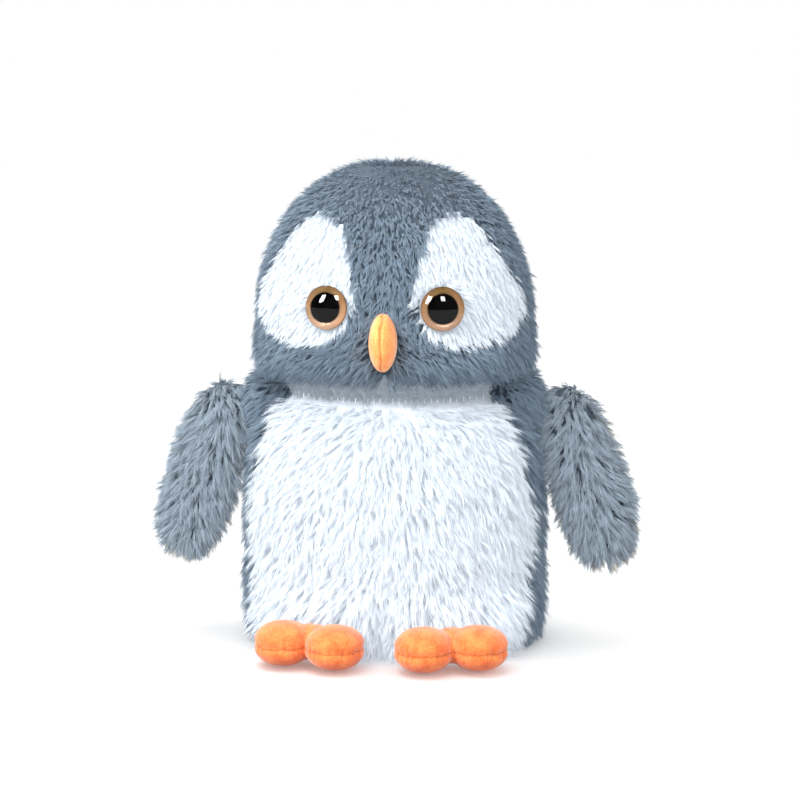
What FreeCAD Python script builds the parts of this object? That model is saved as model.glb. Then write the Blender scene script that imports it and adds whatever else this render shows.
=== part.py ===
"""Plush penguin: faux-fur covers, fibre filling, safety eyes, grain pouch, flippers and feet.

The frame has +Z up, the face towards -Y and the penguin's own left at +X. The origin is on
the floor, at the middle of the footprint.
"""

import FreeCAD, Part
import math
import os

import Sketcher
from FreeCAD import Placement, Rotation, Vector

PARTS = "parts"
SIDES = {"left": 1, "right": -1}

# Driving dimensions, in millimetres and degrees.
SIZES = {
    # Torso form, outside the pile at its mean height.
    "torso_half_width": 99,
    "torso_half_depth": 72,
    "torso_widest": 65,
    "torso_rise": 106.5,
    "torso_top_power": 4.2,
    "torso_base_power": 8,
    "torso_centre": 19.5,
    "fur_thickness": 6,
    # Head form.
    "head_half_width": 92,
    "head_half_depth": 71,
    "head_widest": 206,
    "head_rise": 111,
    "head_drop": 27.5,
    "head_top_power": 2.2,
    "head_base_power": 4.5,
    # Neck plug of filling, and the gap around it.
    "neck_radius": 16,
    "neck_gap": 0.8,
    "neck_height": 175,
    # White front of the torso and the sewn slit across it.
    "front_half_top": 68,
    "front_half_middle": 93,
    "front_half_base": 82,
    "slit_height": 165,
    "slit_gap": 3,
    "stitch_radius": 0.5,
    "stitch_pitch": 4,
    "stitch_count": 31,
    # Grain pouch in the belly.
    "pouch_half_width": 62,
    "pouch_half_depth": 36,
    "pouch_half_height": 55,
    "pouch_cloth": 1.2,
    "pouch_height": 80,
    # Safety eyes.
    "eye_radius": 14,
    "eye_dome": 6.5,
    "eye_disc": 0.8,
    "pupil_radius": 9.8,
    "eye_back": 1.6,
    "shank_radius": 2.8,
    "shank_length": 13,
    "washer_radius": 10,
    "washer_thickness": 1.4,
    "washer_gap": 0.1,
    "eye_seat": 3.5,
    "eye_across": 37,
    "eye_height": 226,
    "eye_splay": 15,
    "eye_lift": 4,
    # Beak.
    "beak_half_width": 9.5,
    "beak_half_depth": 17,
    "beak_half_length": 19,
    "beak_height": 205,
    "beak_forward": 50,
    "beak_tilt": 8,
    "plush_thickness": 1.5,
    # Flippers.
    "flipper_length": 120,
    "flipper_half_width": 22.5,
    "flipper_half_thickness": 11,
    "flipper_cover": 4,
    "flipper_splay": 17,
    "flipper_twist": 14,
    "flipper_across": 126,
    "flipper_height": 113,
    # Feet.
    "toe_half_width": 19.5,
    "toe_half_depth": 20,
    "toe_half_height": 14.5,
    "toe_spread": 16.5,
    "toe_turn": 8,
    "foot_across": 45,
    "foot_forward": 72.5,
    "outer_toe_back": 8,
    "instep_share": 0.86,
}

doc = FreeCAD.newDocument("plush_penguin")
sheet = doc.addObject("Spreadsheet::Sheet", "sizes")
for row, (alias, value) in enumerate(SIZES.items(), start=1):
    sheet.set(f"A{row}", alias)
    sheet.set(f"B{row}", str(value))
    sheet.setAlias(f"B{row}", alias)
doc.recompute()


def size(alias):
    """The value of one cell."""
    return float(sheet.get(alias))


def bind(item, **expressions):
    """Ties properties to cells: [word] in an expression stands for the cell with that alias."""
    for prop, expression in expressions.items():
        for alias in sorted(SIZES, key=len, reverse=True):
            expression = expression.replace(f"[{alias}]", f"sizes.{alias}")
        item.setExpression(prop.replace("__", "."), expression)
    return item


def add(kind, name, **expressions):
    """A document object whose properties are bound to the sheet."""
    return bind(doc.addObject(kind, name), **expressions)


def combined(kind, name, base, tool):
    """A boolean of two objects."""
    item = doc.addObject(kind, name)
    item.Base = base
    item.Tool = tool
    item.Refine = False
    return item


def cut(name, base, tool):
    return combined("Part::Cut", name, base, tool)


def common(name, base, tool):
    return combined("Part::Common", name, base, tool)


def mirrored(name, source):
    """The same piece on the penguin's other side."""
    item = doc.addObject("Part::Mirroring", name)
    item.Source = source
    item.Normal = Vector(1, 0, 0)
    return item


def fused(name, pieces):
    item = doc.addObject("Part::MultiFuse", name)
    item.Shapes = pieces
    return item


def block(name, low, high):
    """A plain cutting block between two corners."""
    item = doc.addObject("Part::Box", name)
    item.Length, item.Width, item.Height = (b - a for a, b in zip(low, high))
    item.Placement.Base = Vector(*low)
    return item


# ---------------------------------------------------------------- rounded forms


CROWN_REACH = 0.994  # a crown ends in a small flat level, so that its loft can close
FLOOR_REACH = 0.93  # the base ends in a wide flat level that sits on the floor


def dome_share(along, power, reach=1.0):
    """Half-width of a superellipse dome, as a share of its widest, at a share of its height."""
    return (1 - (along * reach) ** power) ** (1 / power)


def rounded_form(name, width, depth, levels, centre):
    """A loft through level ellipses. levels holds (height expression, share of the widest)."""
    sections = []
    for number, (height, share) in enumerate(levels):
        sections.append(
            add(
                "Part::Ellipse",
                f"{name}_level_{number}",
                MajorRadius=f"({width}) * {share:.4f}",
                MinorRadius=f"({depth}) * {share:.4f}",
                Placement__Base__z=height,
                Placement__Base__y=centre,
            )
        )
    loft = doc.addObject("Part::Loft", name)
    loft.Sections = sections
    loft.Solid = True
    loft.Ruled = False
    return loft


def torso_form(name, inset):
    """The torso: a soft barrel, nearly flat below, drawn in at the neck."""
    levels = []
    for along in (1.0, 0.96, 0.88, 0.7, 0.4):
        height = f"[torso_widest] - ([torso_widest] - {inset}) * {along}"
        levels.append((height, dome_share(along, size("torso_base_power"), FLOOR_REACH)))
    for along in (0.0, 0.4, 0.66, 0.82, 0.92, 0.975, 1.0):
        height = f"[torso_widest] + ([torso_rise] - {inset}) * {along}"
        levels.append((height, dome_share(along, size("torso_top_power"), CROWN_REACH)))
    width = f"[torso_half_width] - {inset}"
    depth = f"[torso_half_depth] - {inset}"
    return rounded_form(name, width, depth, levels, "[torso_centre]")


def head_form(name, inset):
    """The head: a tall dome over a full, shallow jowl."""
    levels = []
    for along in (1.0, 0.975, 0.9, 0.75, 0.45):
        height = f"[head_widest] - ([head_drop] - {inset}) * {along}"
        levels.append((height, dome_share(along, size("head_base_power"), CROWN_REACH)))
    for along in (0.0, 0.3, 0.56, 0.77, 0.91, 0.975, 1.0):
        height = f"[head_widest] + ([head_rise] - {inset}) * {along}"
        levels.append((height, dome_share(along, size("head_top_power"), CROWN_REACH)))
    width = f"[head_half_width] - {inset}"
    depth = f"[head_half_depth] - {inset}"
    return rounded_form(name, width, depth, levels, "[torso_centre]")


def outline_cutter(name, points, depth):
    """A straight-sided cutter from y = 0 to -depth, from an outline in X and Z.

    points holds (x, z) corners; a corner given with a third value is the middle of an arc.
    """
    sketch = doc.addObject("Sketcher::SketchObject", name + "_outline")
    sketch.Placement = Placement(Vector(), Rotation(Vector(1, 0, 0), 90))
    corners = [Vector(p[0], p[1], 0) for p in points]
    number = 0
    while number < len(points):
        start = corners[number]
        middle = points[(number + 1) % len(points)]
        if len(middle) == 3:
            end = corners[(number + 2) % len(points)]
            arc = Part.Arc(start, Vector(middle[0], middle[1], 0), end)
            sketch.addGeometry(arc, False)
            number += 2
        else:
            end = corners[(number + 1) % len(points)]
            sketch.addGeometry(Part.LineSegment(start, end), False)
            number += 1
    edges = sketch.GeometryCount
    for edge in range(edges):
        sketch.addConstraint(Sketcher.Constraint("Block", edge))
    cutter = doc.addObject("Part::Extrusion", name)
    cutter.Base = sketch
    cutter.DirMode = "Custom"
    cutter.Dir = Vector(0, -1, 0)
    cutter.LengthFwd = depth
    cutter.Solid = True
    return cutter


# ---------------------------------------------------------------- torso


def torso():
    """Covers, slit stitches, filling and grain pouch. Returns the finished objects by name."""
    skin = size("fur_thickness")
    neck = add(
        "Part::Sphere",
        "torso_neck_pocket",
        Radius="[neck_radius] + [neck_gap]",
        Placement__Base__y="[torso_centre]",
        Placement__Base__z="[neck_height]",
    )
    outer = cut("torso_outer", torso_form("torso_outer_loft", "0"), neck)
    inner_loft = torso_form("torso_inner_loft", "[fur_thickness]")
    inner = cut("torso_inner", inner_loft, neck)
    fur = cut("torso_fur", outer, torso_form("torso_lining_loft", "[fur_thickness]"))

    far = 300
    top, middle, base = (size("front_half_" + n) for n in ("top", "middle", "base"))
    slit, gap = size("slit_height"), size("slit_gap")
    front = outline_cutter(
        "front_cutter",
        [
            (-base, skin),
            (base, skin),
            (middle, (skin + slit) / 2, "arc"),
            (top, slit),
            (top * 0.55, far),
            (-top * 0.55, far),
            (-top, slit),
            (-middle, (skin + slit) / 2, "arc"),
        ],
        far,
    )
    front.Placement.Base.y = size("torso_centre")
    below = block("base_block", (-far, -far, -far), (far, far, skin))
    above_base = cut("torso_fur_above_base", fur, below)
    front_fur = common("front_fur", above_base, front)
    back_fur = cut("back_fur", above_base, front)
    under_slit = block("under_slit", (-far, -far, -far), (far, far, slit - gap / 2))
    over_slit = block("over_slit", (-far, -far, slit + gap / 2), (far, far, far))
    halves = {
        side: block(
            side + "_half",
            (0 if sign > 0 else -far, -far, -far),
            (far if sign > 0 else 0, far, far),
        )
        for side, sign in SIDES.items()
    }

    stitches = doc.addObject("Part::Feature", "slit_stitches")
    rise = (slit - size("torso_widest")) / size("torso_rise")
    share = dome_share(rise, size("torso_top_power"), CROWN_REACH)
    half_width = (size("torso_half_width") - skin) * share + 1.5
    half_depth = (size("torso_half_depth") - skin) * share + 1.5
    middle_stitch = (size("stitch_count") - 1) / 2
    bars = []
    for number in range(int(size("stitch_count"))):
        across = (number - middle_stitch) * size("stitch_pitch")
        forward = half_depth * math.sqrt(1 - (across / half_width) ** 2)
        foot = Vector(across, size("torso_centre") - forward, slit - gap / 2)
        bars.append(Part.makeCylinder(size("stitch_radius"), gap, foot))
    stitches.Shape = Part.makeCompound(bars)

    pouch = {"centre_y": "[torso_centre]", "centre_z": "[pouch_height]"}
    bag = add(
        "Part::Ellipsoid",
        "pouch_outer",
        Radius1="[pouch_half_height]",
        Radius2="[pouch_half_width]",
        Radius3="[pouch_half_depth]",
        Placement__Base__y=pouch["centre_y"],
        Placement__Base__z=pouch["centre_z"],
    )
    grain = add(
        "Part::Ellipsoid",
        "grain_filling",
        Radius1="[pouch_half_height] - [pouch_cloth]",
        Radius2="[pouch_half_width] - [pouch_cloth]",
        Radius3="[pouch_half_depth] - [pouch_cloth]",
        Placement__Base__y=pouch["centre_y"],
        Placement__Base__z=pouch["centre_z"],
    )
    return {
        "belly_panel": common("belly_panel", front_fur, under_slit),
        "chest_strip": common("chest_strip", front_fur, over_slit),
        "back_panel_left": common("back_panel_left", back_fur, halves["left"]),
        "back_panel_right": common("back_panel_right", back_fur, halves["right"]),
        "base_panel": common("base_panel", fur, below),
        "slit_stitches": stitches,
        "torso_filling": cut("torso_filling", inner, bag),
        "pouch_bag": cut("pouch_bag", bag, grain),
        "grain_filling": grain,
    }


def neck():
    """The plug of filling that the head turns and nods on."""
    plug = add(
        "Part::Sphere",
        "neck_filling",
        Radius="[neck_radius]",
        Placement__Base__y="[torso_centre]",
        Placement__Base__z="[neck_height]",
    )
    return {"neck_filling": plug}


# ---------------------------------------------------------------- eyes


def revolved(name, profile):
    """A PartDesign body: a closed profile of (radius, height) points turned about Z.

    A point given with a third value is the middle of an arc.
    """
    body = doc.addObject("PartDesign::Body", name)
    sketch = body.newObject("Sketcher::SketchObject", name + "_profile")
    plane = next(p for p in body.Origin.OriginFeatures if p.Role == "XZ_Plane")
    sketch.AttachmentSupport = [(plane, "")]
    sketch.MapMode = "FlatFace"
    number = 0
    while number < len(profile):
        start = Vector(profile[number][0], profile[number][1], 0)
        nearer = profile[(number + 1) % len(profile)]
        if len(nearer) == 3:
            end = profile[(number + 2) % len(profile)]
            middle = Vector(nearer[0], nearer[1], 0)
            sketch.addGeometry(Part.Arc(start, middle, Vector(end[0], end[1], 0)), False)
            number += 2
        else:
            sketch.addGeometry(Part.LineSegment(start, Vector(nearer[0], nearer[1], 0)), False)
            number += 1
    for edge in range(sketch.GeometryCount):
        sketch.addConstraint(Sketcher.Constraint("Block", edge))
    turned = body.newObject("PartDesign::Revolution", name + "_turned")
    turned.Profile = sketch
    turned.ReferenceAxis = (sketch, ["V_Axis"])
    turned.Angle = 360
    return body


def dome_middle(radius, rise, foot):
    """A point half-way round the arc from the dome's rim to its top, as (radius, height, mark)."""
    ball = (radius**2 + rise**2) / (2 * rise)
    half = math.asin(radius / ball) / 2
    return (ball * math.sin(half), foot + rise - ball * (1 - math.cos(half)), "arc")


def eye_parts(side):
    """Lens, iris, pupil, shank and washer of one safety eye, on its own axis with +Z outwards.

    Height 0 is the back of the iris, and the fabric is behind it.
    """
    radius, pupil = size("eye_radius"), size("pupil_radius")
    disc, dome, back = size("eye_disc"), size("eye_dome"), size("eye_back")
    post, length = size("shank_radius"), size("shank_length")
    top = disc + dome
    lens = revolved(
        f"eye_{side}_lens",
        [(0, disc), (radius, disc), dome_middle(radius, dome, disc), (0, top)],
    )
    iris = revolved(
        f"eye_{side}_iris", [(pupil, 0), (radius, 0), (radius, disc), (pupil, disc)]
    )
    pupil_disc = revolved(f"eye_{side}_pupil", [(0, 0), (pupil, 0), (pupil, disc), (0, disc)])
    profile = [(0, 0), (radius - 0.6, 0), (radius - 2, -back), (post, -back)]
    ridges = 4
    pitch = (length - back - 2) / (ridges + 1)
    for number in range(1, ridges + 1):
        root = -back - pitch * number
        profile += [(post, root), (post - 0.5, root), (post, root - pitch * 0.6)]
    profile += [(post, -length + 1), (post - 1, -length), (0, -length)]
    shank = revolved(f"eye_{side}_shank", profile)
    hole, thick = post + size("washer_gap"), size("washer_thickness")
    seat = -back - 3.2
    washer = revolved(
        f"eye_{side}_washer",
        [
            (hole, seat),
            (size("washer_radius"), seat),
            (size("washer_radius"), seat - thick),
            (hole + 2, seat - thick),
            (hole + 1.4, seat - thick - 1.8),
            (hole, seat - thick - 1.8),
        ],
    )
    return {"lens": lens, "iris": iris, "pupil": pupil_disc, "shank": shank, "washer": washer}


def eye_place(sign):
    """Where an eye's back sits on the head, and its outward direction."""
    across, height = size("eye_across") * sign, size("eye_height")
    rise = (height - size("head_widest")) / size("head_rise")
    share = dome_share(rise, size("head_top_power"))
    half_width, half_depth = size("head_half_width") * share, size("head_half_depth") * share
    forward = half_depth * math.sqrt(1 - (across / half_width) ** 2)
    turn = Rotation(Vector(0, 0, 1), size("eye_splay") * sign)
    lift = Rotation(Vector(1, 0, 0), 90 - size("eye_lift"))
    place = Placement(Vector(across, size("torso_centre") - forward, height), turn * lift)
    return place * Placement(Vector(0, 0, -size("eye_seat") + size("eye_back")), Rotation())


# ---------------------------------------------------------------- head


# Outline of the left eye patch in X and Z: a leaning shield, wide beside the eye.
PATCH_POINTS = [
    (24, 268),
    (20, 240, "arc"),
    (26, 216),
    (44, 203.5, "arc"),
    (66, 207),
    (82, 219, "arc"),
    (80, 238),
    (66, 262, "arc"),
    (51, 279),
    (36, 283, "arc"),
]


def head():
    """Fur panels, eye patches, filling, beak and eyes. Returns the finished objects by name."""
    neck_pocket = add(
        "Part::Sphere",
        "head_neck_pocket",
        Radius="[neck_radius] + [neck_gap]",
        Placement__Base__y="[torso_centre]",
        Placement__Base__z="[neck_height]",
    )
    outer_loft = head_form("head_outer_loft", "0")
    outer = cut("head_outer", outer_loft, neck_pocket)
    inner = cut("head_inner", head_form("head_inner_loft", "[fur_thickness]"), neck_pocket)
    fur = cut("head_fur", outer, head_form("head_lining_loft", "[fur_thickness]"))
    far = 300
    finished = {}

    seats = []
    for side, sign in SIDES.items():
        place = eye_place(sign)
        for part, item in eye_parts(side).items():
            item.Placement = place
            finished[f"eye_{side}_{part}"] = item
        seat = add(
            "Part::Cylinder",
            f"eye_{side}_seat",
            Radius="[eye_radius] + 0.3",
            Height="[eye_seat] * 5",
        )
        seat.Placement = place * Placement(Vector(0, 0, -size("eye_back")), Rotation())
        shaft = add(
            "Part::Cylinder",
            f"eye_{side}_shaft",
            Radius="[shank_radius] + 0.2",
            Height="[shank_length] * 2",
        )
        shaft.Placement = place * Placement(Vector(0, 0, -size("shank_length") - 0.2), Rotation())
        socket = add(
            "Part::Cylinder",
            f"eye_{side}_washer_room",
            Radius="[washer_radius] + 0.3",
            Height="[washer_thickness] + 5",
        )
        deep = size("eye_back") + 3.0 + size("washer_thickness") + 5
        socket.Placement = place * Placement(Vector(0, 0, -deep), Rotation())
        seats += [seat, shaft, socket]
        if side == "left":
            sockets = [shaft, socket]
    seated = cut("head_fur_seated", fur, fused("eye_seats", seats))

    beak_place = Placement(
        Vector(0, -size("beak_forward"), size("beak_height")),
        Rotation(Vector(1, 0, 0), -size("beak_tilt")),
    )
    beak_forms = {}
    for layer, inset in (("outer", "0"), ("inner", "[plush_thickness]")):
        form = add(
            "Part::Ellipsoid",
            "beak_" + layer,
            Radius1=f"[beak_half_length] - {inset}",
            Radius2=f"[beak_half_width] - {inset}",
            Radius3=f"[beak_half_depth] - {inset}",
        )
        form.Placement = beak_place
        beak_forms[layer] = cut(f"beak_{layer}_on_face", form, outer_loft)
    beak_skin = cut("beak_skin", beak_forms["outer"], form)
    finished["beak_filling"] = beak_forms["inner"]

    half = block("head_left_half", (0, -far, 0), (far, far, 2 * far))
    half_fur = common("head_fur_left", seated, half)
    patch = outline_cutter("patch_cutter", PATCH_POINTS, far)
    patch.Placement.Base.y = size("torso_centre")
    halves = {
        "eye_patch": common("eye_patch_left", half_fur, patch),
        "head_panel": cut("head_panel_left", half_fur, patch),
        "beak_panel": common("beak_panel_left", beak_skin, half),
    }
    for name, item in halves.items():
        finished[name + "_left"] = item
        finished[name + "_right"] = mirrored(name + "_right", item)
    # The filling is the same on both sides, so the left sockets are cut, turned over to the
    # right, and cut again on the left.
    left_sockets = fused("eye_left_sockets", sockets)
    once = cut("head_filling_one_eye", inner, left_sockets)
    other = mirrored("head_filling_turned_over", once)
    finished["head_filling"] = cut("head_filling", other, left_sockets)
    return finished


# ---------------------------------------------------------------- flippers and feet


def flipper_form(name, inset):
    """A paddle hanging down local -Z, a little wider towards its tip."""
    levels = []
    for along in (-1.0, -0.95, -0.82, -0.5, 0.0, 0.5, 0.82, 0.95, 1.0):
        height = f"([flipper_length] / 2 - {inset}) * {along}"
        share = dome_share(abs(along), 2.6, 0.99) * (1 - 0.09 * along)
        levels.append((height, share))
    width = f"[flipper_half_width] - {inset}"
    depth = f"[flipper_half_thickness] - {inset}"
    return rounded_form(name, width, depth, levels, "0")


def flipper(side, sign):
    """Outer and inner covers and filling of one flipper."""
    far = 200
    place = Placement(
        Vector(size("flipper_across") * sign, size("torso_centre"), size("flipper_height")),
        Rotation(Vector(0, 1, 0), -size("flipper_splay") * sign)
        * Rotation(Vector(0, 0, 1), size("flipper_twist") * sign),
    )
    name = f"flipper_{side}"
    outer = flipper_form(name + "_outer", "0")
    lining = flipper_form(name + "_lining", "[flipper_cover]")
    skin = cut(name + "_skin", outer, lining)
    front = block(name + "_front", (-far, -far, -far), (far, 0, far))
    filling = flipper_form(name + "_filling", "[flipper_cover]")
    finished = {
        name + "_outer_cover": common(name + "_outer_cover", skin, front),
        name + "_inner_cover": cut(name + "_inner_cover", skin, front),
        name + "_filling": filling,
    }
    for item in finished.values():
        item.Placement = place
    return finished


def foot_form(name, inset):
    """Two toes side by side, each a pad, joined by the instep behind the cleft."""
    outer_back = size("outer_toe_back")
    pads = []
    for toe, across, back, share in (
        ("inner", -1, 0, 1),
        ("outer", 1, outer_back, 1),
        ("instep", 0, outer_back, size("instep_share")),
    ):
        levels = []
        for along in (-1.0, -0.95, -0.8, -0.45, 0.0, 0.45, 0.8, 0.95, 1.0):
            height = f"([toe_half_height] - {inset}) * {along * share:.4f}"
            levels.append((height, dome_share(abs(along), 2.2, 0.98)))
        width = f"[toe_half_width] * {share} - {inset}"
        depth = f"[toe_half_depth] * {share} - {inset}"
        pad = rounded_form(f"{name}_{toe}", depth, width, levels, "0")
        pad.Placement = Placement(
            Vector(
                size("foot_across") + across * size("toe_spread"),
                back - size("foot_forward"),
                size("toe_half_height"),
            ),
            Rotation(Vector(0, 0, 1), 90 + size("toe_turn") * across),
        )
        pads.append(pad)
    return fused(name, pads)


def feet():
    """Upper, sole and filling of each foot, sewn together round the middle."""
    far = 200
    outer = foot_form("foot_outer", "0")
    skin = cut("foot_skin", outer, foot_form("foot_lining", "[plush_thickness]"))
    over = block("foot_over", (-far, -far, size("toe_half_height")), (far, far, far))
    left = {
        "upper": common("foot_left_upper", skin, over),
        "sole": cut("foot_left_sole", skin, over),
        "filling": foot_form("foot_left_filling", "[plush_thickness]"),
    }
    finished = {}
    for name, item in left.items():
        finished["foot_left_" + name] = item
        finished["foot_right_" + name] = mirrored("foot_right_" + name, item)
    return finished


# ---------------------------------------------------------------- build, check and write


def build():
    """Every sub-part as a document object, by node name."""
    finished = {**torso(), **neck(), **head(), **feet()}
    for side, sign in SIDES.items():
        finished.update(flipper(side, sign))
    doc.recompute()
    return finished


def write(finished):
    """Checks every object and shape, then writes one STEP file for each sub-part."""
    broken = [o.Name for o in doc.Objects if {"Invalid", "Error"} & set(o.State)]
    for name, item in finished.items():
        if item.Shape.isNull() or not item.Shape.isValid() or not item.Shape.Solids:
            broken.append(name)
        item.Label = name
    if broken:
        raise RuntimeError("failed objects: " + ", ".join(broken))
    os.makedirs(PARTS, exist_ok=True)
    for name, item in finished.items():
        shape = item.Shape
        shape.exportStep(os.path.join(PARTS, name + ".step"))
        box = shape.BoundBox
        print(
            f"{name}: {len(shape.Solids)} solid(s), {shape.Volume / 1000:.2f} cm3, "
            f"x {box.XMin:.1f}..{box.XMax:.1f} y {box.YMin:.1f}..{box.YMax:.1f} "
            f"z {box.ZMin:.1f}..{box.ZMax:.1f}"
        )


write(build())
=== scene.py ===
"""A sitting plush penguin: long-pile fur cut into panels, safety eyes, sewn beak, flippers and feet.

Metres throughout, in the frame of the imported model: +Z up, the face towards -Y, and the
penguin's own left at +X. Pile is drawn as tapered ribbons gathered into pointed locks.
"""

import logging
import math
from dataclasses import dataclass, replace
from enum import Enum
from typing import Callable, Optional

import bpy
import numpy as np
from mathutils import Matrix, Vector


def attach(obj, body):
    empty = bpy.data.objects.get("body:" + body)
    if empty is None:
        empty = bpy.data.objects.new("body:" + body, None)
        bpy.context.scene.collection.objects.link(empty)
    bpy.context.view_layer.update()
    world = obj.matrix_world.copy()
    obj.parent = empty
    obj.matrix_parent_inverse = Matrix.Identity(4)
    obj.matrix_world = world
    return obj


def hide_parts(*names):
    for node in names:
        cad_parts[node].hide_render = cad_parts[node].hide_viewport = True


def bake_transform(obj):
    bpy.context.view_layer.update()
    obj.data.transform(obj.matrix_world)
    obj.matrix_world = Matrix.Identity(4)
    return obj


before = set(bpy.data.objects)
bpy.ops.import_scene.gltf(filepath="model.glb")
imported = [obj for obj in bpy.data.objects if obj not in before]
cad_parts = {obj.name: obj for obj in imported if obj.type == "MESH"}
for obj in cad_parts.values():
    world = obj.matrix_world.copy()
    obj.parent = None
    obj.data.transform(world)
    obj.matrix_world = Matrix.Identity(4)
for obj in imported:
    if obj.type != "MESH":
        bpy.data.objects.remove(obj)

logging.basicConfig(level=logging.INFO, format="%(message)s")
log = logging.getLogger("penguin")

MM = 0.001
RNG = np.random.default_rng(20)
DOWN, UP = np.array([0.0, 0.0, -1.0]), np.array([0.0, 0.0, 1.0])
# Short names for type hints.
Rows = np.ndarray
Piece = bpy.types.Object


class Side(Enum):
    """The penguin's own sides, with the sign of X."""

    LEFT = 1
    RIGHT = -1

    @property
    def word(self) -> str:
        """The side's name as the nodes spell it."""
        return self.name.lower()


# ---- finishes


@dataclass(frozen=True)
class Finish:
    """One plain finish.

    Args:
        name: name of the material.
        colour: sRGB hex.
        roughness, sheen, transmission, specular, glow, ior: values of the shader's sockets.
    """

    name: str
    colour: str
    roughness: float = 0.8
    sheen: float = 0.0
    transmission: float = 0.0
    specular: float = 0.5
    glow: float = 0.0
    ior: float = 1.5


@dataclass(frozen=True)
class Pile:
    """The tones of one fur, from root to tip, two or three of each so that locks differ.

    Args:
        name: first word of each material's name.
        roots, middles, tips: sRGB hex tones.
        slot: material slot of the record; it is not used.
        glow: share of its own colour that it gives off: painted light that stands in for light
            scattering through the pile and lifts its shade.
    """

    name: str
    roots: tuple[str, ...]
    middles: tuple[str, ...]
    tips: tuple[str, ...]
    slot: str
    glow: float = 0.0

    def finishes(self) -> list[Finish]:
        """The finishes in face order: roots, then middles, then tips."""
        made = []
        for part in ("roots", "middles", "tips"):
            for number, colour in enumerate(getattr(self, part)):
                name = f"{self.name}_{part}_{number}"
                made.append(Finish(name, colour, 0.62, 0.25, specular=0.3, glow=self.glow))
        return made


# Slate-blue pile: its roots are painted dark, painted shade at the backing so the gaps between locks
# read as depth; its glow is painted light that lifts the shade in the pile.
GREY = Pile(
    "grey", ("#5A6977", "#465360"), ("#C9D8E5", "#AFC0CF", "#DCE7F0"),
    ("#F0F6FB", "#D8E4EE", "#FAFDFF"), "grey_fur", 0.42,
)
# The flippers' pile is the grey painted paler: painted light that makes up for the little light falling
# on their upright sides. Its dark roots are painted shade and its glow painted light, as on the grey.
LIT_GREY = Pile(
    "pale", ("#717D88", "#606B75"), ("#DAE3EA", "#C4D0D9", "#E8EFF4"),
    ("#F7FAFC", "#E6EDF2", "#FFFFFF"), "grey_fur", 0.34,
)
# White pile is painted lighter at its roots than at its tips, painted light that cancels the shade in
# the gaps between locks; its glow is painted light that lifts the rest of its shade.
WHITE = Pile(
    "white", ("#B4BBC2", "#ADB5BD"), ("#A0A8B0", "#98A1AA", "#A7AEB5"),
    ("#9FA6AD", "#979FA7", "#A6ACB2"), "white_fur", 0.45,
)
# The fringe in the crease has darker roots, painted shade between its strands, and glows more: painted
# light that lifts the shade in the crease.
FRINGE = replace(WHITE, name="fringe", roots=("#8E969E", "#868E97"), glow=0.55)
# Cream pile: its roots are painted darker, painted shade at the backing, and its faint glow is painted
# light.
CREAM = Pile(
    "cream", ("#ACABA6", "#A09F9B"), ("#D9D8D2", "#D0CFC9", "#DFDED9"),
    ("#E6E4DC", "#DDDBD3", "#ECEAE3"), "white_fur", 0.06,
)
# The cloth at the foot of the pile, seen only where locks part. The grey is painted dark, painted shade
# in the gaps between locks; the white glows, painted light that lifts the shade there.
SHADED_GREY_BACKING = Finish("grey_backing", "#39444F", 0.95)
LIT_WHITE_BACKING = Finish("white_backing", "#A8AFB6", 0.95, glow=0.45)
# Thread is a little brighter than the cloth under it, so stitches show.
WHITE_THREAD = Finish("white_thread", "#EDF1F4", 0.7)
# A clear dome: its sharp highlights make the eye look wet.
CLEAR = Finish("clear_dome", "#FFFFFF", 0.02, transmission=1.0)
# The dome's flat back touches the film, so it mirrors nothing.
CLEAR_BACK = Finish("clear_back", "#FFFFFF", 0.0, transmission=1.0, specular=0.0, ior=1.0)
BLACK = Finish("pupil_black", "#08090B", 0.5, specular=0.0)
FLOOR = Finish("floor", "#F7F7F7", 0.9, specular=0.0, glow=0.2)


def linear(colour: str) -> tuple[float, float, float, float]:
    """Turns sRGB hex into linear colour.

    Args:
        colour: such as "#8A9CB0".

    Returns:
        Red, green, blue and alpha.
    """
    shares = [int(colour[i : i + 2], 16) / 255 for i in (1, 3, 5)]
    return (*(s / 12.92 if s <= 0.04045 else ((s + 0.055) / 1.055) ** 2.4 for s in shares), 1.0)


def add_node(tree, kind: str, feeds: Optional[dict] = None, **values):
    """Adds a shader node.

    Args:
        tree: the node tree.
        kind: the node's class, without its first words.
        feeds: input name or number to the output socket that feeds it, or to its value.
        values: input name, with _ for a space, to its value; or a property of the node.

    Returns:
        The node.
    """
    node = tree.nodes.new("ShaderNode" + kind)
    for key, value in values.items():
        socket = key.replace("_", " ")
        if socket in node.inputs:
            node.inputs[socket].default_value = value
        else:
            setattr(node, key, value)
    for key, feed in (feeds or {}).items():
        if isinstance(feed, bpy.types.NodeSocket):
            tree.links.new(feed, node.inputs[key])
        else:
            node.inputs[key].default_value = feed
    return node


def started(name: str, values: dict) -> tuple:
    """Starts a material.

    Args:
        name: its name.
        values: name to value of the shader's sockets.

    Returns:
        The material, its node tree and its shader.
    """
    made = bpy.data.materials.new(name)
    made.use_nodes = True
    shader = made.node_tree.nodes["Principled BSDF"]
    for socket, value in values.items():
        shader.inputs[socket].default_value = value
    return made, made.node_tree, shader


def maths(tree, operation: str, first, second=0.0):
    """The result of a Math node, from two sockets or numbers."""
    return add_node(tree, "Math", {0: first, 1: second}, operation=operation).outputs[0]


def material(finish: Finish) -> bpy.types.Material:
    """The material of a finish, made once.

    Args:
        finish: the finish.

    Returns:
        The material.
    """
    if finish.name in bpy.data.materials:
        return bpy.data.materials[finish.name]
    values = {
        "Base Color": linear(finish.colour),
        "Roughness": finish.roughness,
        "Sheen Weight": finish.sheen,
        "Transmission Weight": finish.transmission,
        "Specular IOR Level": finish.specular,
        "Emission Color": linear(finish.colour),
        "Emission Strength": finish.glow,
        "IOR": finish.ior,
    }
    return started(finish.name, values)[0]


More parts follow.
